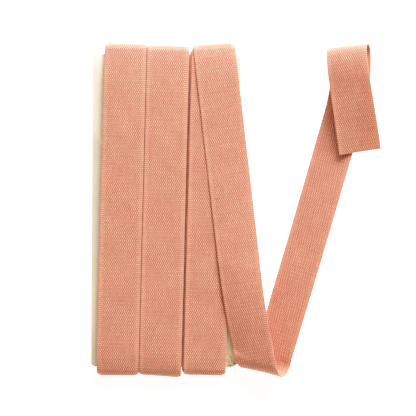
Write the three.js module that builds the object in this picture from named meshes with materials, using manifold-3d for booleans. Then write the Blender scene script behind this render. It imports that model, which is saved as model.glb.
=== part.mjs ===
// Roll of cotton ribbon: three columns wound side by side on a flat card, with the loose end folded beside them.
// Millimetres, +Z up. The flat back of the winding lies on z = 0 and its middle is the origin.
// +Y runs along the columns, from the bottom bends to the top bends.

import * as THREE from 'three';
import { mergeVertices } from 'three/addons/utils/BufferGeometryUtils.js';
import Module from 'manifold-3d';

// Driving dimensions of the ribbon and the card
const RIBBON_WIDTH = 15;
const SHEET_THICKNESS = 1;
const CLEARANCE = 0.3;
const WOUND_THICKNESS = 3.3;
const CARD_WIDTH = 52.9;
const CARD_LENGTH = 112.2;
const CARD_THICKNESS = 1.5;
const CARD_LEAN_DEG = 0.45;
const COLUMN_LEAN_DEG = 1.45;

const ROLL_THICKNESS = 2 * WOUND_THICKNESS + CARD_THICKNESS;
const BEND_RADIUS = ROLL_THICKNESS / 2;
const CARD_BOTTOM = WOUND_THICKNESS;

// The third column lies lower on its face and round its top bend, where the loose end covers it.
const SAG_ALLOWANCE = 0.05;
const COVERED_DEPTH = SHEET_THICKNESS + CLEARANCE + SAG_ALLOWANCE;
const COVER_STEP_DEG = -57;

// Columns from left to right: left side and width along X, how far the top and bottom bends reach along Y,
// and the rounding of the rim
const COLUMNS = [
  { left: -23.2, width: 14.7, top: 59.6, bottom: 59.7, rim: 0.4, covered: false },
  { left: -8.2, width: 15.35, top: 59.3, bottom: 59.5, rim: 0.4, covered: false },
  { left: 8.0, width: 14.7, top: 58.55, bottom: 58.9, rim: 0, covered: true },
];

// The card's slot runs this far past the card on both sides.
const SLOT_OVERHANG = 10;

// Inner turns that join the columns under their grooves
const SLEEVE = { left: -22.6, right: 22.1, back: 1.2, front: 6.0, reach: 57.1, corner: 1.5 };

// Corners of the card: the lower left one is rounded, the lower right one is torn off in a ragged curve.
const CARD_ROUNDING = 1.5;
const ROUNDING_SEGMENTS = 4;
const TEAR = { across: 3.6, along: 3.2, ragged: 0.35, waves: 3.5, steps: 10 };

// Loose end at its start, on the rear of the top bend: it goes round an axis and heads a little to the right.
const WRAP = { x: 17.2, y: 56.2, radius: 3.55, axisDeg: 3.7, fromDeg: -50, toDeg: 90, headingDeg: 2.9 };
const WRAP_TURN = WRAP.toDeg - WRAP.fromDeg;
const WRAP_ARC = WRAP.radius * THREE.MathUtils.degToRad(WRAP_TURN);
const WRAP_LENGTH = WRAP_ARC / Math.cos(THREE.MathUtils.degToRad(WRAP.headingDeg));

// Stretches of the loose end, in order. turn bends it, and skew is the angle of the bend's line across the ribbon
// at the stretch's start and end. ease is 0 for an even bend and 1 for one that fades out both ways. sway turns
// the ribbon in its own plane, and twist turns it about its length. Lengths in millimetres, angles in degrees.
const FOLDS = [
  { part: 'over the roll', length: WRAP_LENGTH, turn: WRAP_TURN, skew: [2.9, 2.9], ease: 0, sway: 0, twist: 0 },
  { part: 'flat on the column', length: 34, turn: 0, skew: [0, 0], ease: 1, sway: 0, twist: 0 },
  { part: 'starting to lift', length: 18, turn: -2.9, skew: [0, 6], ease: 0.4, sway: 0, twist: 2.2 },
  { part: 'right edge lifting', length: 22, turn: -1.8, skew: [6, 22], ease: 0.5, sway: 0, twist: 7.8 },
  { part: 'leaving the column', length: 36, turn: 7.7, skew: [22, 32], ease: 1, sway: 4, twist: 12 },
  { part: 'bottom fold', length: 14, turn: 178.8, skew: [32, 16], ease: 0.3, sway: -14, twist: -38 },
  { part: 'rear leg', length: 92, turn: 0, skew: [16, 0], ease: 1, sway: -1, twist: 2 },
  { part: 'head of the rear leg', length: 20, turn: 6, skew: [0, 4], ease: 1, sway: -16, twist: 2 },
  { part: 'top fold', length: 12.5, turn: 182, skew: [4, 2], ease: 0.3, sway: 0, twist: 0 },
  { part: 'short end', length: 34, turn: 8, skew: [2, 0], ease: 1, sway: -2, twist: -18 },
];
const WALK_STEP = 0.4;
const SECTION_TURN_DEG = 8;
const SECTION_LENGTH = 4;

const BEND_SEGMENTS = 14;
const RIM_SEGMENTS = 2;
const SAME_POINT = 0.001;
const MERGE_DISTANCE = 0.0001;

const FINISHES = {
  card: { color: 0xe6d9c3, roughness: 0.85, metalness: 0 },
  winding: { color: 0xdd9c82, roughness: 0.9, metalness: 0 },
  loose_end: { color: 0xe0a184, roughness: 0.9, metalness: 0 },
};

const radians = THREE.MathUtils.degToRad;
const wasm = await Module();
wasm.setup();

function toSolid(geometry) {
  const bare = geometry.clone();
  bare.deleteAttribute('normal');
  bare.deleteAttribute('uv');
  const merged = mergeVertices(bare, MERGE_DISTANCE);
  const vertProperties = new Float32Array(merged.attributes.position.array);
  const triVerts = new Uint32Array(merged.index.array);
  return new wasm.Manifold(new wasm.Mesh({ numProp: 3, vertProperties, triVerts }));
}

function toGeometry(solid) {
  const mesh = solid.getMesh();
  const geometry = new THREE.BufferGeometry();
  geometry.setAttribute('position', new THREE.BufferAttribute(new Float32Array(mesh.vertProperties), 3));
  geometry.setIndex(new THREE.BufferAttribute(new Uint32Array(mesh.triVerts), 1));
  geometry.computeVertexNormals();
  return geometry;
}

function namedMesh(name, geometry) {
  const mesh = new THREE.Mesh(geometry, new THREE.MeshStandardMaterial(FINISHES[name]));
  mesh.name = name;
  return mesh;
}

// Neighbouring lines and arcs of an outline meet in one point each.
function withoutRepeats(shape) {
  const points = shape.getPoints(BEND_SEGMENTS);
  const kept = points.filter((point, i) => point.distanceTo(points[(i + 1) % points.length]) > SAME_POINT);
  return new THREE.Shape(kept);
}

// An outline in Y and Z is carried along X from left to left + width, with its rim softened.
function extrudeAcross(shape, left, width, rim) {
  const geometry = new THREE.ExtrudeGeometry(withoutRepeats(shape), {
    depth: width - 2 * rim,
    bevelEnabled: rim > 0,
    bevelThickness: rim,
    bevelSize: rim,
    bevelOffset: -rim,
    bevelSegments: RIM_SEGMENTS,
  });
  const along = new THREE.Matrix4().makeBasis(
    new THREE.Vector3(0, 1, 0),
    new THREE.Vector3(0, 0, 1),
    new THREE.Vector3(1, 0, 0),
  );
  geometry.applyMatrix4(along);
  geometry.translate(left + rim, 0, 0);
  return geometry;
}

// Side view of an uncovered column: flat front and back, round bends at both ends
function fullColumnOutline(column) {
  const shape = new THREE.Shape();
  const topCentre = column.top - BEND_RADIUS;
  const bottomCentre = BEND_RADIUS - column.bottom;
  shape.moveTo(bottomCentre, 0);
  shape.lineTo(topCentre, 0);
  shape.absarc(topCentre, BEND_RADIUS, BEND_RADIUS, -Math.PI / 2, Math.PI / 2, false);
  shape.lineTo(bottomCentre, ROLL_THICKNESS);
  shape.absarc(bottomCentre, BEND_RADIUS, BEND_RADIUS, Math.PI / 2, 1.5 * Math.PI, false);
  return shape;
}

// Side view of the covered column: its face and top bend are lower, up to a step low on the rear of that bend.
function coveredColumnOutline(column) {
  const front = ROLL_THICKNESS - COVERED_DEPTH;
  const topRadius = BEND_RADIUS - COVERED_DEPTH;
  const topCentre = column.top - topRadius;
  const bottomRadius = front / 2;
  const bottomCentre = bottomRadius - column.bottom;
  const step = radians(COVER_STEP_DEG);
  const shape = new THREE.Shape();
  shape.moveTo(bottomCentre, 0);
  shape.lineTo(topCentre, 0);
  shape.absarc(topCentre, BEND_RADIUS, BEND_RADIUS, -Math.PI / 2, step, false);
  shape.absarc(topCentre, BEND_RADIUS, topRadius, step, Math.PI / 2, false);
  shape.lineTo(bottomCentre, front);
  shape.absarc(bottomCentre, bottomRadius, bottomRadius, Math.PI / 2, 1.5 * Math.PI, false);
  return shape;
}

function sleeveOutline() {
  const { back, front, reach, corner } = SLEEVE;
  const shape = new THREE.Shape();
  shape.moveTo(corner - reach, back);
  shape.lineTo(reach - corner, back);
  shape.absarc(reach - corner, back + corner, corner, -Math.PI / 2, 0, false);
  shape.absarc(reach - corner, front - corner, corner, 0, Math.PI / 2, false);
  shape.lineTo(corner - reach, front);
  shape.absarc(corner - reach, front - corner, corner, Math.PI / 2, Math.PI, false);
  shape.absarc(corner - reach, back + corner, corner, Math.PI, 1.5 * Math.PI, false);
  return shape;
}

// The slot that the card lies in runs out at both sides of the winding.
function cardSlot() {
  const width = CARD_WIDTH + 2 * SLOT_OVERHANG;
  const length = CARD_LENGTH + 2 * CLEARANCE;
  const thickness = CARD_THICKNESS + 2 * CLEARANCE;
  const slot = new THREE.BoxGeometry(width, length, thickness);
  slot.translate(0, 0, CARD_BOTTOM + CARD_THICKNESS / 2);
  slot.rotateZ(-radians(CARD_LEAN_DEG));
  return slot;
}

function buildWinding() {
  const lean = -radians(COLUMN_LEAN_DEG);
  const sleeve = extrudeAcross(sleeveOutline(), SLEEVE.left, SLEEVE.right - SLEEVE.left, 0);
  let solid = toSolid(sleeve.rotateZ(lean));
  for (const column of COLUMNS) {
    const outline = column.covered ? coveredColumnOutline(column) : fullColumnOutline(column);
    const ring = extrudeAcross(outline, column.left, column.width, column.rim);
    solid = solid.add(toSolid(ring.rotateZ(lean)));
  }
  solid = solid.subtract(toSolid(cardSlot()));
  return namedMesh('winding', toGeometry(solid));
}

// The torn corner runs round from the bottom edge to the right one: a quarter of an ellipse whose reach wavers.
function addTornCorner(shape, right, bottom) {
  for (let i = 0; i <= TEAR.steps; i += 1) {
    const u = i / TEAR.steps;
    const ragged = TEAR.ragged * Math.sin(TEAR.waves * 2 * Math.PI * u) * Math.sin(Math.PI * u);
    const x = right - (TEAR.across + ragged) * (1 - Math.sin((Math.PI / 2) * u));
    const y = bottom + (TEAR.along + ragged) * (1 - Math.cos((Math.PI / 2) * u));
    shape.lineTo(x, y);
  }
}

function buildCard() {
  const right = CARD_WIDTH / 2;
  const top = CARD_LENGTH / 2;
  const rounding = CARD_ROUNDING;
  const shape = new THREE.Shape();
  shape.moveTo(right, top);
  shape.lineTo(-right, top);
  shape.lineTo(-right, rounding - top);
  shape.absarc(rounding - right, rounding - top, rounding, Math.PI, 1.5 * Math.PI, false);
  addTornCorner(shape, right, -top);
  const options = { depth: CARD_THICKNESS, bevelEnabled: false, curveSegments: ROUNDING_SEGMENTS };
  const geometry = new THREE.ExtrudeGeometry(shape, options);
  geometry.translate(0, 0, CARD_BOTTOM);
  geometry.rotateZ(-radians(CARD_LEAN_DEG));
  return namedMesh('card', toGeometry(toSolid(geometry)));
}

// A section of the loose end: the two ends of the line across the ribbon, and the normal there
function crossLine(walker, skewDeg) {
  const skew = radians(skewDeg);
  const across = new THREE.Vector3().crossVectors(walker.normal, walker.tangent);
  across.multiplyScalar(Math.cos(skew)).addScaledVector(walker.tangent, Math.sin(skew));
  const half = RIBBON_WIDTH / 2 / Math.cos(skew);
  return {
    left: walker.place.clone().addScaledVector(across, -half),
    right: walker.place.clone().addScaledVector(across, half),
    normal: walker.normal.clone(),
  };
}

function startWalker() {
  const axis = new THREE.Vector3(1, 0, 0).applyAxisAngle(new THREE.Vector3(0, 0, 1), radians(WRAP.axisDeg));
  const outward = new THREE.Vector3(0, 1, 0).applyAxisAngle(new THREE.Vector3(0, 0, 1), radians(WRAP.axisDeg));
  const around = outward.clone().multiplyScalar(-Math.sin(radians(WRAP.fromDeg)));
  around.z = Math.cos(radians(WRAP.fromDeg));
  const normal = outward.multiplyScalar(Math.cos(radians(WRAP.fromDeg)));
  normal.z = Math.sin(radians(WRAP.fromDeg));
  const tangent = around.multiplyScalar(Math.cos(radians(WRAP.headingDeg)));
  tangent.addScaledVector(axis, Math.sin(radians(WRAP.headingDeg)));
  const place = new THREE.Vector3(WRAP.x, WRAP.y, BEND_RADIUS).addScaledVector(normal, WRAP.radius);
  return { place, tangent, normal };
}

function skewAt(fold, u) {
  return THREE.MathUtils.lerp(fold.skew[0], fold.skew[1], THREE.MathUtils.smoothstep(u, 0, 1));
}

// Walks along the middle of the ribbon in short steps and keeps a section where it has gone or turned far enough.
function walkLooseEnd() {
  const walker = startWalker();
  const sections = [crossLine(walker, FOLDS[0].skew[0])];
  for (const fold of FOLDS) {
    const steps = Math.max(1, Math.round(fold.length / WALK_STEP));
    let gone = 0;
    let turned = 0;
    for (let i = 0; i < steps; i += 1) {
      const u = (i + 0.5) / steps;
      const share = (1 - fold.ease * Math.cos(2 * Math.PI * u)) / steps;
      const turn = radians(fold.turn) * share;
      const skew = radians(skewAt(fold, u));
      const bendLine = new THREE.Vector3().crossVectors(walker.normal, walker.tangent);
      bendLine.multiplyScalar(Math.cos(skew)).addScaledVector(walker.tangent, Math.sin(skew));
      const midway = walker.tangent.clone().applyAxisAngle(bendLine, turn / 2);
      walker.place.addScaledVector(midway, fold.length / steps);
      walker.tangent.applyAxisAngle(bendLine, turn);
      walker.normal.applyAxisAngle(bendLine, turn);
      walker.tangent.applyAxisAngle(walker.normal, radians(fold.sway) / steps).normalize();
      walker.normal.applyAxisAngle(walker.tangent, radians(fold.twist) / steps).normalize();
      gone += fold.length / steps;
      turned += Math.abs(THREE.MathUtils.radToDeg(turn)) + Math.abs(fold.twist / steps);
      if (gone >= SECTION_LENGTH || turned >= SECTION_TURN_DEG || i === steps - 1) {
        sections.push(crossLine(walker, skewAt(fold, (i + 1) / steps)));
        gone = 0;
        turned = 0;
      }
    }
  }
  return sections;
}

// Four corners for each section, joined into a closed strip with a cut at each end
function buildLooseEnd() {
  const half = SHEET_THICKNESS / 2;
  const positions = [];
  const index = [];
  const sections = walkLooseEnd();
  for (const { left, right, normal } of sections) {
    const corners = [
      left.clone().addScaledVector(normal, -half),
      right.clone().addScaledVector(normal, -half),
      right.clone().addScaledVector(normal, half),
      left.clone().addScaledVector(normal, half),
    ];
    for (const corner of corners) positions.push(corner.x, corner.y, corner.z);
  }
  for (let row = 0; row < sections.length - 1; row += 1) {
    for (let side = 0; side < 4; side += 1) {
      const a = row * 4 + side;
      const b = row * 4 + ((side + 1) % 4);
      index.push(a, b, a + 4, b, b + 4, a + 4);
    }
  }
  const last = (sections.length - 1) * 4;
  index.push(0, 2, 1, 0, 3, 2);
  index.push(last, last + 1, last + 2, last, last + 2, last + 3);
  const geometry = new THREE.BufferGeometry();
  geometry.setAttribute('position', new THREE.Float32BufferAttribute(positions, 3));
  geometry.setIndex(index);
  geometry.computeVertexNormals();
  return namedMesh('loose_end', geometry);
}

const roll = new THREE.Group();
roll.add(buildCard());
roll.add(buildWinding());
roll.add(buildLooseEnd());

export default roll;
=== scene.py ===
"""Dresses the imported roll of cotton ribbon: a card, three wound columns and the last one's loose end."""

import logging
import math
import random
from dataclasses import dataclass, field
from enum import Enum
from typing import Callable, Optional, Sequence, Union

import bpy
import numpy as np
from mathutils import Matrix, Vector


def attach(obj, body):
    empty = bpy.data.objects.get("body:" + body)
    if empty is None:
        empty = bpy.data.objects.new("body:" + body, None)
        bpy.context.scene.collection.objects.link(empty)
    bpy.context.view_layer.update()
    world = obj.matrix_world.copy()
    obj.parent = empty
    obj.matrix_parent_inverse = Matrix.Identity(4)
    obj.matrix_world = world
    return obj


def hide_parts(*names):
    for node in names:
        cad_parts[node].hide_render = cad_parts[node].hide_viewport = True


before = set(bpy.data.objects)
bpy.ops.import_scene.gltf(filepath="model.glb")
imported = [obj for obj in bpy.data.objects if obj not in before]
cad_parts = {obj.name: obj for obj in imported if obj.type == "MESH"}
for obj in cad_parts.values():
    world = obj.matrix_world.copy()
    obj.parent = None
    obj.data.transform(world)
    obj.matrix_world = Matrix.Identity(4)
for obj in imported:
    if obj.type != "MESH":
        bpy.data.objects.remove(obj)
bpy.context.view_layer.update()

MM = 0.001
UP = np.array([0.0, 0.0, 1.0])
SHARP_DEG = 55
NOISE_MIDDLE = (0.3, 0.7)
LOG = logging.getLogger("ribbon_roll")

Socket = bpy.types.NodeSocket
Feed = Union[Socket, float, Sequence[float]]
Colour = tuple[float, float, float]
Place = tuple[float, float, float]
Pair = tuple[float, float]


class Held(Enum):
    """How a length of ribbon is held."""

    WOUND = "stretched"
    FOLDED = "folded"


class Slot(Enum):
    """The record's material slots."""

    CARD = "card"
    RIBBON = "ribbon"
    LOOSE_END = "loose_end"


# Small helpers for shapes


def unit(vector: np.ndarray) -> np.ndarray:
    """Returns the vector at length one."""
    return vector / np.linalg.norm(vector)


def turned(vector: np.ndarray, axis: np.ndarray, angle: float) -> np.ndarray:
    """Turns a vector about an axis.

    Args:
        vector: What turns.
        axis: A unit vector.
        angle: In radians, by the right-hand rule.

    Returns:
        The turned vector.
    """
    cosine, sine = math.cos(angle), math.sin(angle)
    return vector * cosine + np.cross(axis, vector) * sine + axis * np.dot(axis, vector) * (1 - cosine)


def smooth(share: float) -> float:
    """Eases a share from 0 to 1 in and out."""
    share = min(1.0, max(0.0, share))
    return share * share * (3 - 2 * share)


def hermite(share: float) -> tuple[float, float, float, float]:
    """Returns a cubic's weights for its start, its slope there, its end and its slope there."""
    square, cube = share**2, share**3
    return 2 * cube - 3 * square + 1, cube - 2 * square + share, 3 * square - 2 * cube, cube - square


def leaned(point: np.ndarray, lean_deg: float) -> np.ndarray:
    """Turns a point about the vertical, clockwise from above."""
    return turned(point, UP, -math.radians(lean_deg))


def ring_faces(first: int, rings: int, count: int) -> list[tuple[int, int, int, int]]:
    """Joins closed rings of points, each to the next one.

    Args:
        first: The first point's number.
        rings: How many rings there are.
        count: Points in a ring.

    Returns:
        Four corners for each face.
    """
    found = []
    for start in range(first, first + (rings - 1) * count, count):
        for i in range(count):
            a, b = start + i, start + (i + 1) % count
            found.append((a, b, b + count, a + count))
    return found


class Wander:
    """A smooth uneven value along a length, the same each run."""

    def __init__(self, seed: int, size: float, waves: Sequence[float]) -> None:
        """Draws the phases.

        Args:
            seed: Of the random draws.
            size: The usual largest value, in metres.
            waves: Wavelengths in metres.
        """
        draw = random.Random(seed)
        circle = 2 * math.pi
        self.parts = [(size / len(waves), circle / wave, draw.uniform(0, circle)) for wave in waves]

    def at(self, place: float) -> float:
        """Returns the value at a place along the length."""
        return sum(size * math.sin(pace * place + phase) for size, pace, phase in self.parts)


# Node trees


class Wiring:
    """Adds nodes to one node tree and joins them."""

    def __init__(self, tree: bpy.types.NodeTree) -> None:
        """Keeps the tree that the nodes go into."""
        self.tree = tree

    def feed(self, socket: Socket, value: Feed) -> None:
        """Joins a socket to another one, or sets its own value.

        Args:
            socket: The input.
            value: An output socket, a number or a colour.
        """
        if isinstance(value, bpy.types.NodeSocket):
            self.tree.links.new(value, socket)
        else:
            socket.default_value = value

    def feed_all(self, node: bpy.types.Node, feeds: dict[Union[str, int], Feed]) -> None:
        """Feeds several inputs of a node, by name or number."""
        for key, value in feeds.items():
            self.feed(node.inputs[key], value)

    def node(
        self, kind: str, feeds: Optional[dict[Union[str, int], Feed]] = None, **settings: object
    ) -> bpy.types.Node:
        """Adds a node.

        Args:
            kind: The node's type.
            feeds: What goes into its inputs, by name or number.
            **settings: The node's own properties.

        Returns:
            The node.
        """
        made = self.tree.nodes.new(kind)
        for name, value in settings.items():
            setattr(made, name, value)
        self.feed_all(made, feeds or {})
        return made

    def math(self, operation: str, first: Feed, second: Feed = 0.0, third: Feed = 0.0) -> Socket:
        """Adds a Math node.

        Args:
            operation: Its name in Blender.
            first: The first number.
            second: The second number.
            third: The third number.

        Returns:
            The result's socket.
        """
        return self.node("ShaderNodeMath", {0: first, 1: second, 2: third}, operation=operation).outputs[0]

    def mapped(self, value: Feed, low: float, high: float, to_low: float, to_high: float) -> Socket:
        """Maps a value from one range to another and keeps it there.

        Args:
            value: The value.
            low: The range's start.
            high: The range's end.
            to_low: What the start becomes.
            to_high: What the end becomes.

        Returns:
            The mapped value's socket.
        """
        feeds = {0: value, 1: low, 2: high, 3: to_low, 4: to_high}
        return self.node("ShaderNodeMapRange", feeds, clamp=True).outputs[0]

    def mixed(self, share: Feed, first: Feed, second: Feed, blend: str = "MIX") -> Socket:
        """Mixes two colours.

        Args:
            share: Of the second colour.
            first: The first colour.
            second: The second colour.
            blend: The way they mix.

        Returns:
            The mixed colour's socket.
        """
        feeds = {0: share, 6: first, 7: second}
        return self.node("ShaderNodeMix", feeds, data_type="RGBA", blend_type=blend).outputs[2]

    def noise(self, place: Feed, scale: float, detail: float = 2.0) -> Socket:
        """Adds a noise texture.

        Args:
            place: Where it is read.
            scale: Waves for each unit of place.
            detail: Its finer layers.

        Returns:
            The value's socket, about 0.5 on average.
        """
        feeds = {"Vector": place, "Scale": scale, "Detail": detail}
        return self.node("ShaderNodeTexNoise", feeds).outputs["Fac"]

    def spot(self, x: Feed, y: Feed, z: Feed = 0.0) -> Socket:
        """Joins three numbers into a place."""
        return self.node("ShaderNodeCombineXYZ", {0: x, 1: y, 2: z}).outputs[0]


def new_group(
    name: str, inputs: dict[str, str], outputs: dict[str, str]
) -> tuple[bpy.types.NodeTree, Wiring]:
    """Makes an empty shader node group.

    Args:
        name: The group's name.
        inputs: Socket types by name.
        outputs: Socket types by name.

    Returns:
        The group and its wiring.
    """
    tree = bpy.data.node_groups.new(name, "ShaderNodeTree")
    for title, kind in inputs.items():
        tree.interface.new_socket(title, in_out="INPUT", socket_type=kind)
    for title, kind in outputs.items():
        tree.interface.new_socket(title, in_out="OUTPUT", socket_type=kind)
    return tree, Wiring(tree)


def new_material(name: str) -> tuple[bpy.types.Material, Wiring, bpy.types.Node]:
    """Makes a material with its shader.

    Args:
        name: The material's name.

    Returns:
        The material, its wiring and its shader.
    """
    made = bpy.data.materials.new(name)
    made.use_nodes = True
    return made, Wiring(made.node_tree), made.node_tree.nodes["Principled BSDF"]


class PlainWeave:
    """The node group of a plain weave, read from the mesh's own run of the ribbon, in millimetres.

    Heights go from 0 in a hole to 1 on a crest. A thread swings up and down about its mean lift, and the
    crown's power flattens its round top. Every other warp thread is a little prouder. Sway and drift put the
    threads off their straight lines. A thread's tone changes slowly along it, by its stretch for each thread
    that it crosses, and the weft's layer keeps the tones of the two sets apart.
    """

    NAME = "plain_weave"
    RUN = "ribbon_run"
    CROWN = 0.6
    MEAN_LIFT = 0.64
    SWING = 0.36
    WARP_HEIGHT = 0.96
    WARP_ODD = 0.07
    WEFT_HEIGHT = 0.46
    EDGE_HEIGHT = 0.36
    EDGE_RIB = 0.22
    EDGE_BLEND = 0.9
    SWAY = 0.5
    SWAY_SCALE = 0.08
    DRIFT = 1.2
    DRIFT_SCALE = 0.05
    TONE_SCALE = 1.7
    WARP_STRETCH = 0.12
    WEFT_STRETCH = 0.05
    WEFT_LAYER = 5.0

    @classmethod
    def group(cls) -> bpy.types.NodeTree:
        """Builds the group once.

        Returns:
            The group. Height is 1 on a thread's crest and 0 in a hole. Thread is each thread's own lightness
            about 0.5. Selvedge is 1 along both edges, where the warp is set closer.
        """
        if cls.NAME in bpy.data.node_groups:
            return bpy.data.node_groups[cls.NAME]
        number = "NodeSocketFloat"
        pitches = dict.fromkeys(("Warp Pitch", "Weft Pitch", "Selvedge From"), number)
        results = dict.fromkeys(("Height", "Thread", "Selvedge"), number)
        tree, wires = new_group(cls.NAME, {"Run": "NodeSocketVector", **pitches}, results)
        ins = wires.node("NodeGroupInput").outputs
        split = wires.node("ShaderNodeSeparateXYZ", {0: ins["Run"]}).outputs
        sway = wires.noise(ins["Run"], cls.SWAY_SCALE, 1.0)
        drift = wires.noise(wires.spot(0.0, split[1]), cls.DRIFT_SCALE)
        swayed = wires.math("MULTIPLY_ADD", sway, cls.SWAY, split[0])
        drifted = wires.math("MULTIPLY_ADD", drift, cls.DRIFT, split[1])
        across = wires.math("DIVIDE", swayed, ins["Warp Pitch"])
        along = wires.math("DIVIDE", drifted, ins["Weft Pitch"])
        warp, warp_number = cls._threads(wires, across, along, 1.0)
        weft, weft_number = cls._threads(wires, along, across, -1.0)
        odd = wires.math("SINE", wires.math("MULTIPLY", wires.math("ADD", warp_number, 0.5), math.pi))
        proud = wires.math("MULTIPLY", warp, wires.math("MULTIPLY_ADD", odd, cls.WARP_ODD, cls.WARP_HEIGHT))
        body = wires.math("MAXIMUM", proud, wires.math("MULTIPLY", weft, cls.WEFT_HEIGHT))
        outward = wires.math("SUBTRACT", wires.math("ABSOLUTE", split[0]), ins["Selvedge From"])
        selvedge = wires.mapped(outward, 0.0, cls.EDGE_BLEND, 0.0, 1.0)
        edge = wires.math("MULTIPLY_ADD", cls._rounds(wires, along), cls.EDGE_RIB, cls.EDGE_HEIGHT)
        keep = wires.math("MULTIPLY", body, wires.math("SUBTRACT", 1.0, selvedge))
        warp_spot = wires.spot(warp_number, wires.math("MULTIPLY", along, cls.WARP_STRETCH))
        weft_spot = wires.spot(wires.math("MULTIPLY", across, cls.WEFT_STRETCH), weft_number, cls.WEFT_LAYER)
        on_top = wires.math("GREATER_THAN", warp, weft)
        below = wires.math("SUBTRACT", 1.0, on_top)
        warp_tone = wires.math("MULTIPLY", wires.noise(warp_spot, cls.TONE_SCALE, 1.0), on_top)
        weft_tone = wires.math("MULTIPLY", wires.noise(weft_spot, cls.TONE_SCALE, 1.0), below)
        out = wires.node("NodeGroupOutput").inputs
        wires.feed(out["Height"], wires.math("MULTIPLY_ADD", edge, selvedge, keep))
        wires.feed(out["Thread"], wires.math("ADD", warp_tone, weft_tone))
        wires.feed(out["Selvedge"], selvedge)
        return tree

    @staticmethod
    def _rounds(wires: Wiring, count: Socket) -> Socket:
        """Gives a half wave for each whole number of a thread count, from 0 at its sides to 1."""
        return wires.math("SINE", wires.math("MULTIPLY", wires.math("FRACT", count), math.pi))

    @classmethod
    def _threads(cls, wires: Wiring, side: Socket, way: Socket, sign: float) -> tuple[Socket, Socket]:
        """Adds one set of threads, which go over and under the other set.

        Args:
            wires: The group's wiring.
            side: Thread count across these threads.
            way: Thread count along them.
            sign: 1 or -1, so that one set is up where the other is down.

        Returns:
            The set's height, and each thread's number.
        """
        number = wires.math("FLOOR", side)
        crown = wires.math("POWER", cls._rounds(wires, side), cls.CROWN)
        turn = wires.math("MULTIPLY", wires.math("ADD", way, number), math.pi)
        lift = wires.math("MULTIPLY_ADD", wires.math("SINE", turn), cls.SWING * sign, cls.MEAN_LIFT)
        return wires.math("MULTIPLY", crown, lift), number


@dataclass(frozen=True)
class CottonFinish:
    """Matt plain-woven cotton, dyed in the thread.

    Pitches are in millimetres, and the crest and the glow's reach in metres. The two ranges are the weave's
    heights over which the holes' deep colour, a painted shade, becomes the dye, and the dye the crests' pale
    colour, a painted highlight.
    """

    name: str
    dye: Colour
    # painted shade: the darker colour put in the weave's holes
    deep: Colour
    # painted highlight: the paler colour put on the thread crests
    pale: Colour
    warp_pitch: float = 0.365
    weft_pitch: float = 0.70
    selvedge_from: float = 5.7
    thread_tone: float = 0.30
    # painted highlight: how much lighter both selvedges are made
    selvedge_highlight: float = 0.02
    patch_scale: float = 0.09
    patch_tone: Pair = (0.95, 1.05)
    hole_shade_heights: Pair = (0.29, 0.63)
    crest_highlight_heights: Pair = (0.70, 1.0)
    crest: float = 0.00006
    bump: float = 0.55
    roughness: float = 0.62
    specular: float = 0.55
    sheen: float = 0.35
    sheen_roughness: float = 0.5
    sheen_tint: Colour = (1.0, 0.95, 0.92)
    glow: float = 0.5
    glow_reach: float = 0.0005
    glow_colour: Colour = (1.0, 0.38, 0.18)

    def material(self) -> bpy.types.Material:
        """Builds the material.

        Returns:
            A procedural material that reads the ribbon's run from the mesh.
        """
        made, wires, shader = new_material(self.name)
        run = wires.node("ShaderNodeAttribute", attribute_name=PlainWeave.RUN).outputs["Vector"]
        pitches = {"Warp Pitch": self.warp_pitch, "Weft Pitch": self.weft_pitch}
        feeds = {"Run": run, **pitches, "Selvedge From": self.selvedge_from}
        weave = wires.node("ShaderNodeGroup", feeds, node_tree=PlainWeave.group()).outputs
        thread = wires.math("SUBTRACT", weave["Thread"], 0.5)
        patch = wires.mapped(wires.noise(run, self.patch_scale, 3.0), *NOISE_MIDDLE, *self.patch_tone)
        # Painted highlight: the colour is made lighter along both selvedges.
        painted_edge_gain = wires.math("MULTIPLY_ADD", weave["Selvedge"], self.selvedge_highlight, 1.0)
        tone = wires.math("MULTIPLY_ADD", thread, 2 * self.thread_tone, 1.0)
        tone = wires.math("MULTIPLY", wires.math("MULTIPLY", tone, patch), painted_edge_gain)
        grey = wires.node("ShaderNodeCombineColor", {0: tone, 1: tone, 2: tone}).outputs[0]
        # Painted shade in the holes and painted highlight on the crests, mixed into the base colour by the
        # weave's height.
        dyed = wires.mapped(weave["Height"], *self.hole_shade_heights, 0.0, 1.0)
        crest_highlight_share = wires.mapped(weave["Height"], *self.crest_highlight_heights, 0.0, 1.0)
        cloth = wires.mixed(dyed, (*self.deep, 1.0), (*self.dye, 1.0))
        cloth = wires.mixed(crest_highlight_share, cloth, (*self.pale, 1.0))
        relief = {"Strength": self.bump, "Distance": self.crest, "Height": weave["Height"]}
        settings = {
            "Base Color": wires.mixed(1.0, cloth, grey, "MULTIPLY"),
            "Normal": wires.node("ShaderNodeBump", relief).outputs["Normal"],
            "Roughness": self.roughness,
            "Specular IOR Level": self.specular,
            "Sheen Weight": self.sheen,
            "Sheen Roughness": self.sheen_roughness,
            "Sheen Tint": (*self.sheen_tint, 1.0),
            "Subsurface Weight": self.glow,
            "Subsurface Radius": self.glow_colour,
            "Subsurface Scale": self.glow_reach,
        }
        wires.feed_all(shader, settings)
        return made


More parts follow.
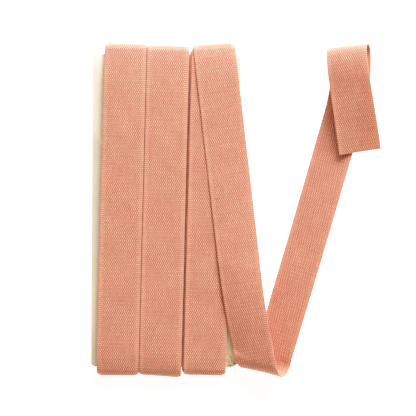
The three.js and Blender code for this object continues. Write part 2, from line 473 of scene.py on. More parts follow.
@dataclass(frozen=True)
class BoardFinish:
    """Uncoated cream board, browner where it is cut and specked round its torn corner.

    Places and sizes are in metres, scales in waves for each metre. A range is the part of a noise that an
    effect covers, and a share is how far the effect goes.
    """

    name: str
    face: Colour = (0.76, 0.66, 0.52)
    fleck: Colour = (0.58, 0.47, 0.34)
    core: Colour = (0.34, 0.22, 0.10)
    cloud_scale: float = 90.0
    cloud_share: float = 0.30
    fibre_scale: float = 1500.0
    fleck_range: Pair = (0.60, 0.72)
    fleck_share: float = 0.45
    cut_range: Pair = (0.35, 0.65)
    cut_share: Pair = (0.5, 1.0)
    torn_at: Place = (0.0258, -0.0565, 0.004)
    torn_reach: float = 0.0054
    torn_full: float = 0.45
    speck_scale: float = 1700.0
    speck_range: Pair = (0.48, 0.58)
    speck_share: float = 0.95
    speck_depth: float = 1.5
    rough_range: Pair = (0.2, 0.8)
    roughness: Pair = (0.8, 0.95)
    specular: float = 0.15
    relief: float = 0.00006
    bump: float = 0.6
    RAW = "raw_edge"

    def material(self) -> bpy.types.Material:
        """Builds the material.

        Returns:
            A procedural material that reads where the board is cut from the mesh.
        """
        made, wires, shader = new_material(self.name)
        place = wires.node("ShaderNodeTexCoord").outputs["Object"]
        cloud = wires.noise(place, self.cloud_scale, 3.0)
        fibre = wires.noise(place, self.fibre_scale)
        speck = wires.noise(place, self.speck_scale, 1.0)
        raw = wires.node("ShaderNodeAttribute", attribute_name=self.RAW).outputs["Fac"]
        away = wires.node("ShaderNodeVectorMath", {0: place, 1: self.torn_at}, operation="DISTANCE")
        full = self.torn_full * self.torn_reach
        near = wires.mapped(away.outputs["Value"], full, self.torn_reach, 1.0, 0.0)
        specks = wires.math("MULTIPLY", near, wires.mapped(speck, *self.speck_range, 0.0, self.speck_share))
        cut = wires.math("MULTIPLY", raw, wires.mapped(fibre, *self.cut_range, *self.cut_share))
        fleck = (*self.fleck, 1.0)
        clouded = wires.mapped(cloud, *NOISE_MIDDLE, 0.0, self.cloud_share)
        flecked = wires.mapped(fibre, *self.fleck_range, 0.0, self.fleck_share)
        face = wires.mixed(flecked, wires.mixed(clouded, (*self.face, 1.0), fleck), fleck)
        height = wires.math("ADD", fibre, wires.math("MULTIPLY", specks, -self.speck_depth))
        relief = {"Strength": self.bump, "Distance": self.relief, "Height": height}
        settings = {
            "Base Color": wires.mixed(wires.math("MAXIMUM", specks, cut), face, (*self.core, 1.0)),
            "Roughness": wires.mapped(cloud, *self.rough_range, *self.roughness),
            "Normal": wires.node("ShaderNodeBump", relief).outputs["Normal"],
            "Specular IOR Level": self.specular,
        }
        wires.feed_all(shader, settings)
        return made


# Ribbon


@dataclass(frozen=True)
class Station:
    """A section line across the ribbon.

    It holds the line's two ends, the cloth's normal, the place along the ribbon, the line's angle to square,
    and how far each edge sinks below the line. Lengths are in metres and the angle is in radians.
    """

    left: np.ndarray
    right: np.ndarray
    normal: np.ndarray
    along: float
    skew: float = 0.0
    sink: Pair = (0.0, 0.0)


@dataclass(frozen=True)
class RibbonStock:
    """The ribbon as it comes off the loom, in metres.

    Swell is the selvedge's thickness as a share of the cloth's. Flat to is where the section's even middle
    ends and sink from where its edges start to sink, both as shares of the half width. Flat steps is the
    number of points on the even middle.
    """

    width: float = 15 * MM
    thickness: float = 0.32 * MM
    selvedge: float = 0.55 * MM
    swell: float = 1.12
    cupping: float = 0.05 * MM
    sink_from: float = 0.76
    flat_to: float = 0.64
    flat_steps: int = 7

    def section(self) -> list[Pair]:
        """Gives the section's upper half from the left edge to the right.

        Returns:
            Places across, from -1 to 1, each with its half thickness in metres.
        """
        half, side = self.thickness / 2, self.width / 2
        edge = [
            (0.0, 0.0),
            (0.25 * half, 0.66 * half),
            (half, half * self.swell),
            (self.selvedge, half * self.swell),
            (1.5 * self.selvedge, half),
            (1.3 * MM, half),
            (1.8 * MM, half),
        ]
        left = [(-1 + inward / side, thick) for inward, thick in edge]
        middle = [(place, half) for place in np.linspace(-self.flat_to, self.flat_to, self.flat_steps)]
        return left + middle + [(-place, thick) for place, thick in reversed(left)]

    def lift(self, station: Station, place: float) -> float:
        """Gives how far the cloth lies off the section line, apart from its ripple.

        Args:
            station: The section line.
            place: Across, from -1 to 1.

        Returns:
            Metres along the normal.
        """
        out = max(0.0, abs(place) - self.sink_from) / (1 - self.sink_from)
        return -self.cupping * place * place - station.sink[place > 0] * out * out

    def mesh(
        self, name: str, stations: list[Station], ripple: Callable[[float, float], float]
    ) -> bpy.types.Object:
        """Makes a closed strip of cloth through the stations.

        Args:
            name: The piece's name.
            stations: Section lines in order.
            ripple: Lifts the cloth off its even surface, by place along in metres and across from -1 to 1.

        Returns:
            The new object, with the ribbon's run stored on it in millimetres.
        """
        upper = self.section()
        ring = upper + [(place, -thick) for place, thick in upper[-2:0:-1]]
        points, runs = [], []
        for at in stations:
            for place, thick in ring:
                lift = ripple(at.along, place) + self.lift(at, place)
                share = (place + 1) / 2
                points.append(at.left * (1 - share) + at.right * share + at.normal * (lift + thick))
                across = place * self.width / 2
                runs.append((across / MM, (at.along + across * math.tan(at.skew)) / MM, 0.0))
        count = len(ring)
        last = (len(stations) - 1) * count
        faces: list[tuple[int, ...]] = list(ring_faces(0, len(stations), count))
        for i in range(len(upper) - 1):
            corners = [i, i + 1, (count - i - 1) % count, (count - i) % count]
            loop = list(dict.fromkeys(corners))
            faces.append(tuple(reversed(loop)))
            faces.append(tuple(last + corner for corner in loop))
        return make_object(name, points, faces, {PlainWeave.RUN: runs})


def make_object(
    name: str, points: Sequence, faces: Sequence, marks: dict[str, Sequence]
) -> bpy.types.Object:
    """Makes a smooth-shaded mesh object.

    Args:
        name: The object's name.
        points: Places in metres.
        faces: Corner numbers.
        marks: Values for each point by name, three numbers or one.

    Returns:
        The new object, in the scene.
    """
    mesh = bpy.data.meshes.new(name)
    mesh.from_pydata([tuple(point) for point in points], [], list(faces))
    for title, values in marks.items():
        wide = isinstance(values[0], tuple)
        layer = mesh.attributes.new(title, "FLOAT_VECTOR" if wide else "FLOAT", "POINT")
        layer.data.foreach_set("vector" if wide else "value", np.array(values, np.float32).ravel())
    mesh.validate()
    mesh.polygons.foreach_set("use_smooth", [True] * len(mesh.polygons))
    mesh.set_sharp_from_angle(angle=math.radians(SHARP_DEG))
    mesh.update()
    made = bpy.data.objects.new(name, mesh)
    bpy.context.scene.collection.objects.link(made)
    return made


def place_piece(piece: bpy.types.Object, slot: Slot, *nodes: str) -> None:
    """Puts a finished piece on the frame.

    Args:
        piece: The piece.
        slot: The record's slot for its finish. It is not used.
        *nodes: The solids that it stands for.
    """
    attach(piece, "root")
    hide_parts(*nodes)
    LOG.info("%s: %d faces", piece.name, len(piece.data.polygons))


@dataclass(frozen=True)
class Fold:
    """A stretch of the loose end. Length is in millimetres and angles are in degrees.

    Turn is how far it bends about its section lines, skew the angle of those lines, sway its curve in its own
    plane, and twist its turn about its own length. Ease is how far the bend gathers in the stretch's middle.
    """

    length: float
    turn: float
    skew_from: float
    skew_to: float
    ease: float
    sway: float = 0.0
    twist: float = 0.0

    def skew(self, share: float) -> float:
        """Returns the section line's angle in radians at a share of the stretch."""
        return math.radians(self.skew_from + (self.skew_to - self.skew_from) * smooth(share))


@dataclass
class Walker:
    """A place on the middle of the ribbon, with its heading and normal."""

    place: np.ndarray
    tangent: np.ndarray
    normal: np.ndarray
    along: float = 0.0

    def line(self, skew: float) -> np.ndarray:
        """Gives the direction of the section line at an angle to square, in radians."""
        return np.cross(self.normal, self.tangent) * math.cos(skew) + self.tangent * math.sin(skew)

    def section(self, width: float, skew: float, sink: Pair = (0.0, 0.0)) -> Station:
        """Gives the section line here.

        Args:
            width: The ribbon's width.
            skew: The line's angle in radians.
            sink: How far each edge sinks.

        Returns:
            The station.
        """
        reach = self.line(skew) * width / 2 / math.cos(skew)
        return Station(self.place - reach, self.place + reach, self.normal.copy(), self.along, skew, sink)

    def step(self, fold: Fold, share: float, count: int) -> None:
        """Moves on by one step of a stretch.

        Args:
            fold: The stretch.
            share: How far through it the step's middle is.
            count: The stretch's number of steps.
        """
        bend = math.radians(fold.turn) * (1 - fold.ease * math.cos(2 * math.pi * share)) / count
        line = self.line(fold.skew(share))
        length = fold.length * MM / count
        self.place = self.place + turned(self.tangent, line, bend / 2) * length
        self.tangent = turned(self.tangent, line, bend)
        self.normal = turned(self.normal, line, bend)
        self.tangent = unit(turned(self.tangent, self.normal, math.radians(fold.sway) / count))
        self.normal = unit(turned(self.normal, self.tangent, math.radians(fold.twist) / count))
        self.along += length


@dataclass
class LooseEnd:
    """The free end: it comes over the top bend, slants down, folds under, runs up and folds over once more.

    Sizes are in millimetres and angles in degrees. The axis is that of the top bend, and the corner has how
    far the cloth's two edges sink there. The walk goes by steps and keeps a section line each row gap or row
    turn. Up to held to, the cloth has its held share of ripple, and over free over it gets the rest.
    """

    stock: RibbonStock
    axis_place: Place = (17.0745, 56.66, 3.58)
    axis_deg: float = 3.7
    radius: float = 3.08
    heading_deg: float = 2.9
    over_turn: float = 168.0
    corner: Pair = (0.15, 0.8)
    step: float = 0.4
    row_gap: float = 1.6
    row_turn: float = 5.0
    held_share: float = 0.3
    held_to: float = 50.0
    free_over: float = 40.0
    folds: tuple[Fold, ...] = (
        Fold(3, 5.4, 2.9, 2.9, 0),
        Fold(4, 3.6, 2.9, 2.9, 0),
        Fold(8, 3.0, 2.9, 2.9, 0.5),
        Fold(20.2, 0, 0, 0, 1),
        Fold(18, -2.9, 0, 6, 0.4, 0, 2.2),
        Fold(22, -1.8, 6, 22, 0.5, 0, 7.8),
        Fold(36, 7.7, 22, 32, 1, 4, 12),
        Fold(14, 178.8, 32, 16, 0.3, -14, -38),
        Fold(92, 0, 16, 0, 1, -1, 2),
        Fold(20, 6, 0, 4, 1, -16, 2),
        Fold(11, 165, 4, 2, 0.3),
        Fold(9, 23, 2, 2, 0.3),
        Fold(26.5, 6, 2, 0, 1, -2, -18),
    )

    def _freedom(self, along: float) -> float:
        """Returns the share of its full ripple that the cloth has at a place along it, in metres."""
        freed = smooth((along - self.held_to * MM) / (self.free_over * MM))
        return self.held_share + (1 - self.held_share) * freed

    def start(self) -> Walker:
        """Gives the place under the top bend where the loose end leaves the flat back.

        Returns:
            The walker there.
        """
        heading = math.radians(self.heading_deg)
        axis = turned(np.array([1.0, 0.0, 0.0]), UP, math.radians(self.axis_deg))
        outward = turned(np.array([0.0, 1.0, 0.0]), UP, math.radians(self.axis_deg))
        place = (np.array(self.axis_place) - UP * self.radius) * MM
        return Walker(place, outward * math.cos(heading) + axis * math.sin(heading), -UP)

    def stations(self) -> list[Station]:
        """Walks the whole free end.

        Returns:
            Its section lines.
        """
        heading = math.radians(self.heading_deg)
        length = self.radius * math.radians(self.over_turn) / math.cos(heading)
        over = Fold(length, self.over_turn, self.heading_deg, self.heading_deg, 0)
        walker = self.start()
        found = [walker.section(self.stock.width, heading)]
        for fold in (over, *self.folds):
            count = max(1, round(fold.length / self.step))
            gone = turned_by = 0.0
            for i in range(count):
                walker.step(fold, (i + 0.5) / count, count)
                gone += fold.length / count
                turned_by += (abs(fold.turn) + abs(fold.twist)) / count
                if gone >= self.row_gap or turned_by >= self.row_turn or i == count - 1:
                    share = (i + 1) / count
                    bulge = math.sin(math.pi * share) * MM if fold is over else 0.0
                    sink = (self.corner[0] * bulge, self.corner[1] * bulge)
                    found.append(walker.section(self.stock.width, fold.skew(share), sink))
                    gone = turned_by = 0.0
        return found

    def build(self, finish: bpy.types.Material) -> bpy.types.Object:
        """Args:
            finish: The cloth's material.

        Returns:
            The piece.
        """
        stations = self.stations()
        wave = Wander(41, 0.07 * MM, (31 * MM, 17 * MM, 9.5 * MM))
        edge = Wander(43, 0.08 * MM, (23 * MM, 11 * MM))

        def ripple(along: float, across: float) -> float:
            """Gives the lift at a place along the ribbon and across it."""
            return self._freedom(along) * (wave.at(along) + edge.at(along) * across)

        piece = self.stock.mesh("ribbon_loose_end", stations, ripple)
        piece.data.materials.append(finish)
        place_piece(piece, Slot.LOOSE_END, "loose_end")
        return piece


@dataclass(frozen=True)
class Shoulder:
    """How the wound stack eases down towards one end: by how much and over what length, in millimetres."""

    drop: float
    reach: float

    def at(self, distance: float) -> float:
        """Returns how far the stack has eased down at a distance inward from its start."""
        return self.drop * math.exp(-distance / self.reach)

    @property
    def tilt(self) -> float:
        """Returns the slope's angle at the shoulder's start, in radians."""
        return math.atan2(self.drop, self.reach)


@dataclass(frozen=True)
class Outline:
    """One turn of the ribbon seen from the side.

    It is the middle of the cloth, in millimetres from the card's middle. The three counts are the points on
    its back face, on its front face and on each quarter bend.
    """

    top: float
    bottom: float
    front: float
    back: float
    front_top: Shoulder = Shoulder(0.0, 1.0)
    front_bottom: Shoulder = Shoulder(0.0, 1.0)
    back_ends: Shoulder = Shoulder(0.0, 1.0)
    back_count: int = 28
    front_count: int = 44
    bend_count: int = 8

    def _end(self, way: int, height: float, shoulder: Shoulder) -> Pair:
        """Gives a quarter bend's radius and the place of its middle.

        Args:
            way: 1 at the top and -1 at the bottom.
            height: Of the face that it joins.
            shoulder: At the join.

        Returns:
            The radius, and Y without its sign.
        """
        radius = (height - shoulder.drop) / math.cos(shoulder.tilt)
        return radius, (self.top if way > 0 else self.bottom) - radius

    def quarter(self, way: int, front: bool, share: float) -> Pair:
        """Gives a place on a quarter bend.

        Args:
            way: 1 at the top and -1 at the bottom.
            front: Whether it joins the front face or the back one.
            share: From 0 at the face to 1 at the tip.

        Returns:
            Y and the height.
        """
        shoulder = (self.front_top if way > 0 else self.front_bottom) if front else self.back_ends
        radius, middle = self._end(way, self.front if front else self.back, shoulder)
        angle = shoulder.tilt + (math.pi / 2 - shoulder.tilt) * share
        return way * (middle + radius * math.sin(angle)), radius * math.cos(angle) * (1 if front else -1)

    def face(self, front: bool, share: float) -> Pair:
        """Gives a place on a face.

        Args:
            front: The front face or the back one.
            share: From 0 at the bottom to 1 at the top.

        Returns:
            Y and the height.
        """
        low, high = self.quarter(-1, front, 0.0)[0], self.quarter(1, front, 0.0)[0]
        y = low + (high - low) * share
        if front:
            return y, self.front - self.front_top.at(high - y) - self.front_bottom.at(y - low)
        return y, -(self.back - self.back_ends.at(high - y) - self.back_ends.at(y - low))

    @staticmethod
    def _crowded(count: int) -> list[float]:
        """Returns shares from 0 to 1 that lie closer towards both ends."""
        return [0.5 - 0.5 * math.cos(math.pi * (i + 0.5) / count) for i in range(count)]

    def lap(self) -> list[Pair]:
        """Gives one whole turn: up the back, over the top, down the front and under the bottom.

        Returns:
            Y and the height of each place.
        """
        bend = [(i + 0.5) / self.bend_count for i in range(self.bend_count)]
        found = [self.face(False, share) for share in self._crowded(self.back_count)]
        found += [self.quarter(1, False, share) for share in bend]
        found += [self.quarter(1, True, 1 - share) for share in bend]
        found += [self.face(True, 1 - share) for share in self._crowded(self.front_count)]
        found += [self.quarter(-1, True, share) for share in bend]
        found += [self.quarter(-1, False, 1 - share) for share in bend]
        return found


@dataclass
class WoundColumn:
    """One column of turns round the card, in its own leaning frame. Sizes are in millimetres.

    Each turn lies between the card's own outline and the column's outer one, and the last of them keeps to
    the outer one for its settled share. Corner has how far the outer turn's edges sink at the left and right
    of the top bend, then of the bottom bend. Slant has how much farther up the right edge lies than the left
    one at the top and at the bottom. Under shifts has how far each turn from the card outwards lies off the
    column's line. A turn also lies off it by its nudge and its drift, and the outermost one only by a calm
    share of its drift.
    """

    name: str
    stock: RibbonStock
    left: float
    turns: int
    outer: Outline
    seed: int
    corner: tuple[float, float, float, float] = (0.0, 0.0, 0.0, 0.0)
    slant: Pair = (0.0, 0.0)
    under_shifts: tuple[float, ...] = ()
    lean_deg: float = 1.45
    card_half: float = 0.75
    card_reach: Pair = (56.25, 56.35)
    card_gap: float = 0.02
    middle: float = 4.05
    settled: float = 0.25
    nudge: float = 0.12
    drift: float = 0.14
    calm: float = 0.35
    bend_power: float = 1.5
    pass_from: float = 6.0
    pass_height: float = 0.5
    pass_rows: int = 24

    def _inner(self) -> Outline:
        """Gives the outline of cloth that lies right on the card.

        Returns:
            The outline.
        """
        off = self.card_half + self.stock.thickness / 2 / MM + self.card_gap
        top, bottom = self.card_reach
        return Outline(top + off - self.card_half, bottom + off - self.card_half, off, off)

    def path(self) -> list[Place]:
        """Winds the middle line.

        Returns:
            Y, height above the floor and the share of the way out, for each place.
        """
        inner, outer = self._inner().lap(), self.outer.lap()
        found = []
        for lap in range(self.turns):
            for i, (near, far) in enumerate(zip(inner, outer)):
                share = min(1.0, (lap + i / len(inner)) / (self.turns - self.settled))
                y, rise = (near[k] * (1 - share) + far[k] * share for k in (0, 1))
                found.append((y, self.middle + rise, share))
        return found

    def _nudges(self) -> list[float]:
        """Draws how far each turn lies off the column's line.

        Returns:
            One value for each turn, from the card outwards.
        """
        draw = random.Random(self.seed)
        found = [draw.uniform(-self.nudge, self.nudge) for _ in range(self.turns - 1)] + [0.0]
        for lap, off in enumerate(self.under_shifts):
            found[lap] += off
        return found

    def stations(self) -> list[Station]:
        """Winds the column.

        Returns:
            The section lines from the card outwards.
        """
        path, nudges = self.path(), self._nudges()
        lap_length = len(path) // self.turns
        shift = Wander(self.seed, self.drift * MM, (61 * MM, 143 * MM, 29 * MM))
        half = self.stock.width / 2
        found: list[Station] = []
        along = 0.0
        for i, (y, z, share) in enumerate(path):
            before, after = path[max(0, i - 1)], path[min(len(path) - 1, i + 1)]
            along += math.hypot(y - before[0], z - before[1]) * MM
            ahead = unit(np.array([after[0] - before[0], after[1] - before[1]]))
            out, tall = ahead[1], -ahead[0]
            lap, place = divmod(i, lap_length)
            into = smooth(2 * place / lap_length)
            nudge = nudges[lap] * into + nudges[max(0, lap - 1)] * (1 - into)
            outermost = lap == self.turns - 1
            x = self.left + half / MM + nudge + shift.at(along) / MM * (self.calm if outermost else 1.0)
            bend = abs(out) ** self.bend_power
            slant, corner = (self.slant[0], self.corner[:2]) if out > 0 else (self.slant[1], self.corner[2:])
            tip = slant * bend * share / 2
            sink = tuple(depth * bend * share * MM for depth in corner)
            left, right = (
                leaned(np.array([x + sign * half / MM, y + sign * tip, z]) * MM, self.lean_deg)
                for sign in (-1, 1)
            )
            normal = leaned(np.array([0.0, out, tall]), self.lean_deg)
            found.append(Station(left, right, normal, along, 0.0, sink))
        return found

    def last_pass(self, goal: Station, goal_heading: np.ndarray) -> list[Station]:
        """Carries the last turn up the column's back to where the loose end starts.

        Args:
            goal: The loose end's first section line.
            goal_heading: The loose end's heading there.

        Returns:
            Section lines that end at the goal.
        """
        width = self.stock.width
        wound = self.stations()[-1]
        low = (self.left * MM + width / 2, (self.pass_from - self.outer.bottom) * MM, self.pass_height * MM)
        start = leaned(np.array(low), self.lean_deg)
        heading = leaned(np.array([0.0, 1.0, 0.0]), self.lean_deg)
        end = (goal.left + goal.right) / 2
        span = float(np.linalg.norm(end - start))
        along = wound.along + float(np.linalg.norm(start - (wound.left + wound.right) / 2))
        found = []
        before = start
        for i in range(self.pass_rows + 1):
            share = i / self.pass_rows
            at_start, out_of_start, at_end, into_end = hermite(share)
            place = start * at_start + heading * span * out_of_start
            place = place + end * at_end + goal_heading * span * into_end
            slope = heading * (1 - smooth(share)) + goal_heading * smooth(share)
            along += float(np.linalg.norm(place - before))
            before = place
            found.append(Walker(place, unit(slope), -UP, along).section(width, goal.skew * smooth(share)))
        return found

    def build(self, finish: bpy.types.Material, after: Sequence[Station] = ()) -> bpy.types.Object:
        """Args:
            finish: The cloth's material.
            after: Section lines that carry the last turn on.

        Returns:
            The piece.
        """
        stations = self.stations() + list(after)
        swell = Wander(self.seed + 7, 0.02 * MM, (47 * MM, 19 * MM))
        edge = Wander(self.seed + 9, 0.018 * MM, (37 * MM, 13 * MM))

        def ripple(along: float, across: float) -> float:
            """Gives the lift at a place along the ribbon and across it."""
            return swell.at(along) * (1 - across * across) + edge.at(along) * across

        piece = self.stock.mesh(self.name, stations, ripple)
        piece.data.materials.append(finish)
        place_piece(piece, Slot.RIBBON, "winding")
        return piece


@dataclass
class Card:
    """The flat board in the middle, with one corner torn away. Sizes are in millimetres.

    Edge counts has the points along the top, left, bottom and right edges. The raw values say how far an edge
    shows the board's core, from 0 to 1. A fibre's way and its sizes are drawn: the way by mean and spread for
    each axis, the rest between two limits.
    """

    width: float = 52.9
    length: float = 112.2
    thickness: float = 1.5
    bottom: float = 3.3
    lean_deg: float = 0.45
    rounding: float = 1.5
    tear_across: float = 3.6
    tear_along: float = 3.2
    tear_rough: float = 0.32
    tear_inward: Pair = (-0.6, 0.7)
    plies: int = 3
    ply_step: float = 0.3
    ply_seam: float = 0.01
    softening: float = 0.08
    cut_rough: float = 0.025
    edge_counts: tuple[int, int, int, int] = (36, 76, 34, 74)
    corner_count: int = 8
    tear_count: int = 32
    edge_raw: float = 0.35
    corner_raw: float = 0.8
    fibres: int = 110
    fibre_way: tuple[Pair, Pair, Pair] = ((0.5, 0.6), (-0.8, 0.5), (0.15, 0.35))
    fibre_at: Pair = (0.02, 0.98)
    fibre_rise: Pair = (0.2, 1.45)
    fibre_root: Pair = (0.1, 0.9)
    fibre_half: Pair = (0.05, 0.11)
    fibre_length: Pair = (0.5, 1.3)
    fibre_raw: Pair = (0.0, 0.8)
    seed: int = 5
    draw: random.Random = field(init=False)

    def __post_init__(self) -> None:
        """Seeds the uneven cuts."""
        self.draw = random.Random(self.seed)

    def _tear(self, share: float) -> Pair:
        """Gives a place on the torn corner's even line.

        Args:
            share: From 0 on the bottom edge to 1 on the right one.

        Returns:
            X and Y.
        """
        across = self.tear_across * (1 - math.sin(math.pi / 2 * share))
        along = self.tear_along * (1 - math.cos(math.pi / 2 * share))
        return self.width / 2 - across, along - self.length / 2

    def _edge(self, start: Pair, end: Pair, count: int) -> list[Place]:
        """Gives the points of a straight edge, without its end.

        Args:
            start: X and Y.
            end: X and Y.
            count: How many points.

        Returns:
            X, Y and how raw the edge is, for each point.
        """
        found = []
        for i in range(count):
            x, y = (start[k] + (end[k] - start[k]) * (i / count) for k in (0, 1))
            found.append((x, y, self.edge_raw))
        return found

    def _outline(self, ply: int) -> list[Place]:
        """Gives one ply's outline, counter-clockwise from above.

        Args:
            ply: Its number from below.

        Returns:
            X, Y and how raw the edge is there, from 0 to 1.
        """
        right, top = self.width / 2, self.length / 2
        top_count, left_count, bottom_count, right_count = self.edge_counts
        found = self._edge((right, top), (-right, top), top_count)
        found += self._edge((-right, top), (-right, self.rounding - top), left_count)
        for i in range(self.corner_count):
            angle = math.radians(180 + 90 * i / self.corner_count)
            x = self.rounding - right + self.rounding * math.cos(angle)
            found.append((x, self.rounding - top + self.rounding * math.sin(angle), self.corner_raw))
        found += self._edge((self.rounding - right, -top), (right - self.tear_across, -top), bottom_count)
        back = self.ply_step * (self.plies - 1 - ply)
        for i in range(self.tear_count + 1):
            share = i / self.tear_count
            x, y = self._tear(share)
            rough = self.draw.uniform(-self.tear_rough, self.tear_rough) + back
            rough *= math.sin(math.pi * share) ** 0.5
            found.append((x + rough * self.tear_inward[0], y + rough * self.tear_inward[1], 1.0))
        return found + self._edge((right, -top + self.tear_along), (right, top), right_count)

    def _fibre(self) -> tuple[list[np.ndarray], list[tuple[int, int, int]]]:
        """Makes one loose fibre on the torn edge.

        Returns:
            Its corners in metres and its faces.
        """
        x, y = self._tear(self.draw.uniform(*self.fibre_at))
        root = np.array([x, y, self.bottom + self.draw.uniform(*self.fibre_rise)])
        root[:2] += np.array(self.tear_inward) * self.draw.uniform(*self.fibre_root)
        way = unit(np.array([self.draw.gauss(mean, spread) for mean, spread in self.fibre_way]))
        side = unit(np.cross(way, np.array([0.2, 0.1, 1.0]))) * self.draw.uniform(*self.fibre_half)
        other = unit(np.cross(way, side)) * np.linalg.norm(side)
        tip = root + way * self.draw.uniform(*self.fibre_length)
        corners = [root - side, root + side, root + other, tip]
        faces = [(0, 2, 1), (0, 1, 3), (1, 2, 3), (2, 0, 3)]
        return [leaned(point * MM, self.lean_deg) for point in corners], faces

    def build(self, finish: bpy.types.Material) -> bpy.types.Object:
        """Builds the board from its plies.

        Args:
            finish: The board's material.

        Returns:
            The piece.
        """
        points, faces, raws = [], [], []
        deep, soft = self.thickness / self.plies, self.softening
        for ply in range(self.plies):
            outline = self._outline(ply)
            low = self.bottom + ply * deep
            jitter = [self.draw.uniform(-self.cut_rough, self.cut_rough) for _ in outline]
            high = low + deep
            rings = ((low + self.ply_seam, soft), (low + soft, 0.0), (high - soft, 0.0), (high, soft))
            first, count = len(points), len(outline)
            for height, inset in rings:
                for (x, y, raw), rough in zip(outline, jitter):
                    shrink = 1 - (inset + rough) / math.hypot(x, y)
                    point = np.array([x * shrink, y * shrink, height]) * MM
                    points.append(leaned(point, self.lean_deg))
                    raws.append(raw if inset == 0 else 0.0)
            faces += ring_faces(first, len(rings), count)
            last = len(points) - count
            faces.append(tuple(range(first + count - 1, first - 1, -1)))
            faces.append(tuple(range(last, last + count)))
        for _ in range(self.fibres):
            corners, sides = self._fibre()
            faces += [tuple(len(points) + k for k in side) for side in sides]
            points += corners
            raws += [self.draw.uniform(*self.fibre_raw)] * len(corners)
        piece = make_object("card_board", points, faces, {BoardFinish.RAW: raws})
        piece.data.materials.append(finish)
        place_piece(piece, Slot.CARD, "card")
        return piece


# Studio


@dataclass(frozen=True)
class Lamp:
    """A soft oblong lamp, in metres and watts."""

    name: str
    place: Place
    aim: Place
    size: Pair
    power: float
    colour: Colour = (1.0, 1.0, 1.0)

    def build(self) -> bpy.types.Object:
        """Puts the lamp in the scene.

        Returns:
            The lamp.
        """
        data = bpy.data.lights.new(self.name, "AREA")
        data.shape = "RECTANGLE"
        data.size, data.size_y = self.size
        data.energy = self.power
        data.color = self.colour
        made = bpy.data.objects.new(self.name, data)
        made.location = self.place
        made.visible_camera = False
        look = Vector(self.aim) - Vector(self.place)
        made.rotation_euler = look.to_track_quat("-Z", "Y").to_euler()
        bpy.context.scene.collection.objects.link(made)
        return made


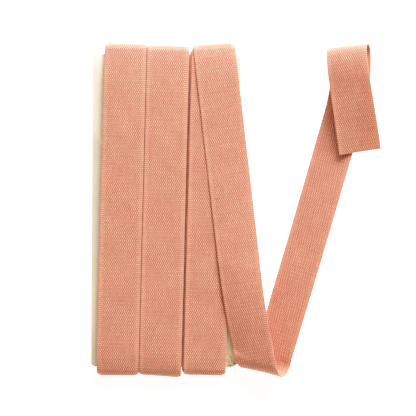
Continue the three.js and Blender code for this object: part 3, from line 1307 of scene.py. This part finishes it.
@dataclass(frozen=True)
class Studio:
    """A pale table under soft light, with the camera straight above.

    The eye and the table's sizes are in metres, the lens and its sensor in millimetres. The tone has the
    print's value for some values of light up to white.
    """

    eye: Place = (0.01517, 0.000893, 0.6)
    lens: float = 143.5
    sensor: float = 36.0
    clip: Pair = (0.01, 20.0)
    table_size: float = 4.0
    table_gap: float = 0.0001
    table_tones: tuple[Colour, Colour] = ((0.93, 0.93, 0.93), (0.95, 0.95, 0.95))
    table_grain: float = 60.0
    table_roughness: float = 0.7
    table_glow: float = 0.85
    sky: float = 0.33
    white: float = 1.5
    tone: tuple[Pair, ...] = (
        (0.05, 0.020),
        (0.12, 0.085),
        (0.22, 0.20),
        (0.40, 0.41),
        (0.75, 0.76),
        (1.1, 0.93),
    )
    lamps: tuple[Lamp, ...] = (
        Lamp("lamp_high", (0.29, 0.95, 0.60), (0.02, 0.0, 0.0), (0.75, 0.75), 30.0),
        Lamp("lamp_low", (0.10, -1.10, 0.65), (0.02, 0.0, 0.0), (1.2, 0.8), 6.5, (1.0, 0.79, 0.50)),
    )

    def _print(self, view: bpy.types.ColorManagedViewSettings) -> None:
        """Sets the picture's tone as a photograph is printed, with soft highlights and rich shadows.

        Args:
            view: The scene's view settings.
        """
        view.view_transform = "Standard"
        view.use_curve_mapping = True
        mapping = view.curve_mapping
        mapping.use_clip = True
        mapping.clip_max_x = self.white
        mapping.clip_max_y = 1.0
        curve = mapping.curves[3]
        for place, value in self.tone:
            curve.points.new(place, value)
        end = max(curve.points, key=lambda point: point.location[0] if point.location[1] >= 1.0 else 0.0)
        end.location = (self.white, 1.0)
        mapping.update()

    def _table(self) -> None:
        half = self.table_size / 2
        corners = [(x * half, y * half, -self.table_gap) for x, y in ((-1, -1), (1, -1), (1, 1), (-1, 1))]
        table = make_object("table_top", corners, [(0, 1, 2, 3)], {})
        paper, wires, shader = new_material("pale_table")
        grain = wires.noise(wires.node("ShaderNodeTexCoord").outputs["Object"], self.table_grain)
        tones = ((*tone, 1.0) for tone in self.table_tones)
        settings = {
            "Base Color": wires.mixed(wires.mapped(grain, *NOISE_MIDDLE, 0.0, 1.0), *tones),
            "Roughness": self.table_roughness,
            "Emission Color": (1.0, 1.0, 1.0, 1.0),
            "Emission Strength": self.table_glow,
        }
        wires.feed_all(shader, settings)
        table.data.materials.append(paper)

    def _camera(self) -> bpy.types.Object:
        """Puts the camera above the table.

        Returns:
            The camera.
        """
        data = bpy.data.cameras.new("camera_above")
        data.sensor_width = self.sensor
        data.lens = self.lens
        data.clip_start, data.clip_end = self.clip
        camera = bpy.data.objects.new("camera_above", data)
        camera.location = self.eye
        bpy.context.scene.collection.objects.link(camera)
        return camera

    def build(self) -> None:
        """Sets the table, the light, the camera and the print's tone."""
        scene = bpy.context.scene
        self._table()
        world = bpy.data.worlds.new("studio_sky")
        world.use_nodes = True
        background = world.node_tree.nodes["Background"]
        background.inputs["Color"].default_value = (1.0, 1.0, 1.0, 1.0)
        background.inputs["Strength"].default_value = self.sky
        scene.world = world
        for lamp in self.lamps:
            lamp.build()
        scene.camera = self._camera()
        self._print(scene.view_settings)
        LOG.info("studio: %d lamps", len(self.lamps))


def wound_columns(stock: RibbonStock) -> tuple[WoundColumn, WoundColumn, WoundColumn]:
    """Sets out the three columns.

    Args:
        stock: The ribbon.

    Returns:
        The columns from left to right. The last one is thinner, because the loose end is its outermost turn.
    """
    back_ends = Shoulder(drop=0.35, reach=4.0)
    ends = {"front_top": Shoulder(1.3, 7.0), "front_bottom": Shoulder(0.95, 3.8), "back_ends": back_ends}
    low_ends = {"front_top": Shoulder(0.9, 4.4), "front_bottom": Shoulder(0.35, 3.0), "back_ends": back_ends}
    left = WoundColumn(
        "ribbon_column_left",
        stock,
        left=-23.25,
        turns=7,
        outer=Outline(top=59.55, bottom=59.6, front=3.85, back=3.84, **ends),
        seed=11,
        corner=(0.5, 0.1, 1.0, 0.8),
        slant=(0.0, 0.3),
    )
    middle = WoundColumn(
        "ribbon_column_middle",
        stock,
        left=-8.05,
        turns=7,
        outer=Outline(top=59.2, bottom=59.4, front=3.9, back=3.84, **ends),
        seed=12,
        corner=(0.1, 0.4, 0.2, 0.5),
        slant=(0.0, -0.7),
    )
    right = WoundColumn(
        "ribbon_column_right",
        stock,
        left=7.85,
        turns=5,
        outer=Outline(top=58.3, bottom=58.7, front=3.05, back=3.05, **low_ends),
        seed=13,
        corner=(0.2, 0.2, 0.3, 0.8),
        under_shifts=(-0.62, -0.58, -0.46),
    )
    return left, middle, right


def main() -> None:
    """Builds the roll and its studio in order."""
    logging.basicConfig(level=logging.INFO, format="%(name)s %(message)s")
    stock = RibbonStock()
    # deep is painted shade for the weave's holes, pale a painted highlight for its crests.
    peach = CottonFinish(
        "peach_cotton", dye=(0.72, 0.365, 0.262), deep=(0.25, 0.046, 0.018), pale=(0.78, 0.46, 0.35)
    )
    cotton = peach.material()
    Card().build(BoardFinish("cream_board").material())
    left, middle, right = wound_columns(stock)
    left.build(cotton)
    middle.build(cotton)
    loose = LooseEnd(stock)
    right.build(cotton, right.last_pass(loose.stations()[0], loose.start().tangent))
    loose.build(cotton)
    Studio().build()


if __name__ == "__main__":
    main()
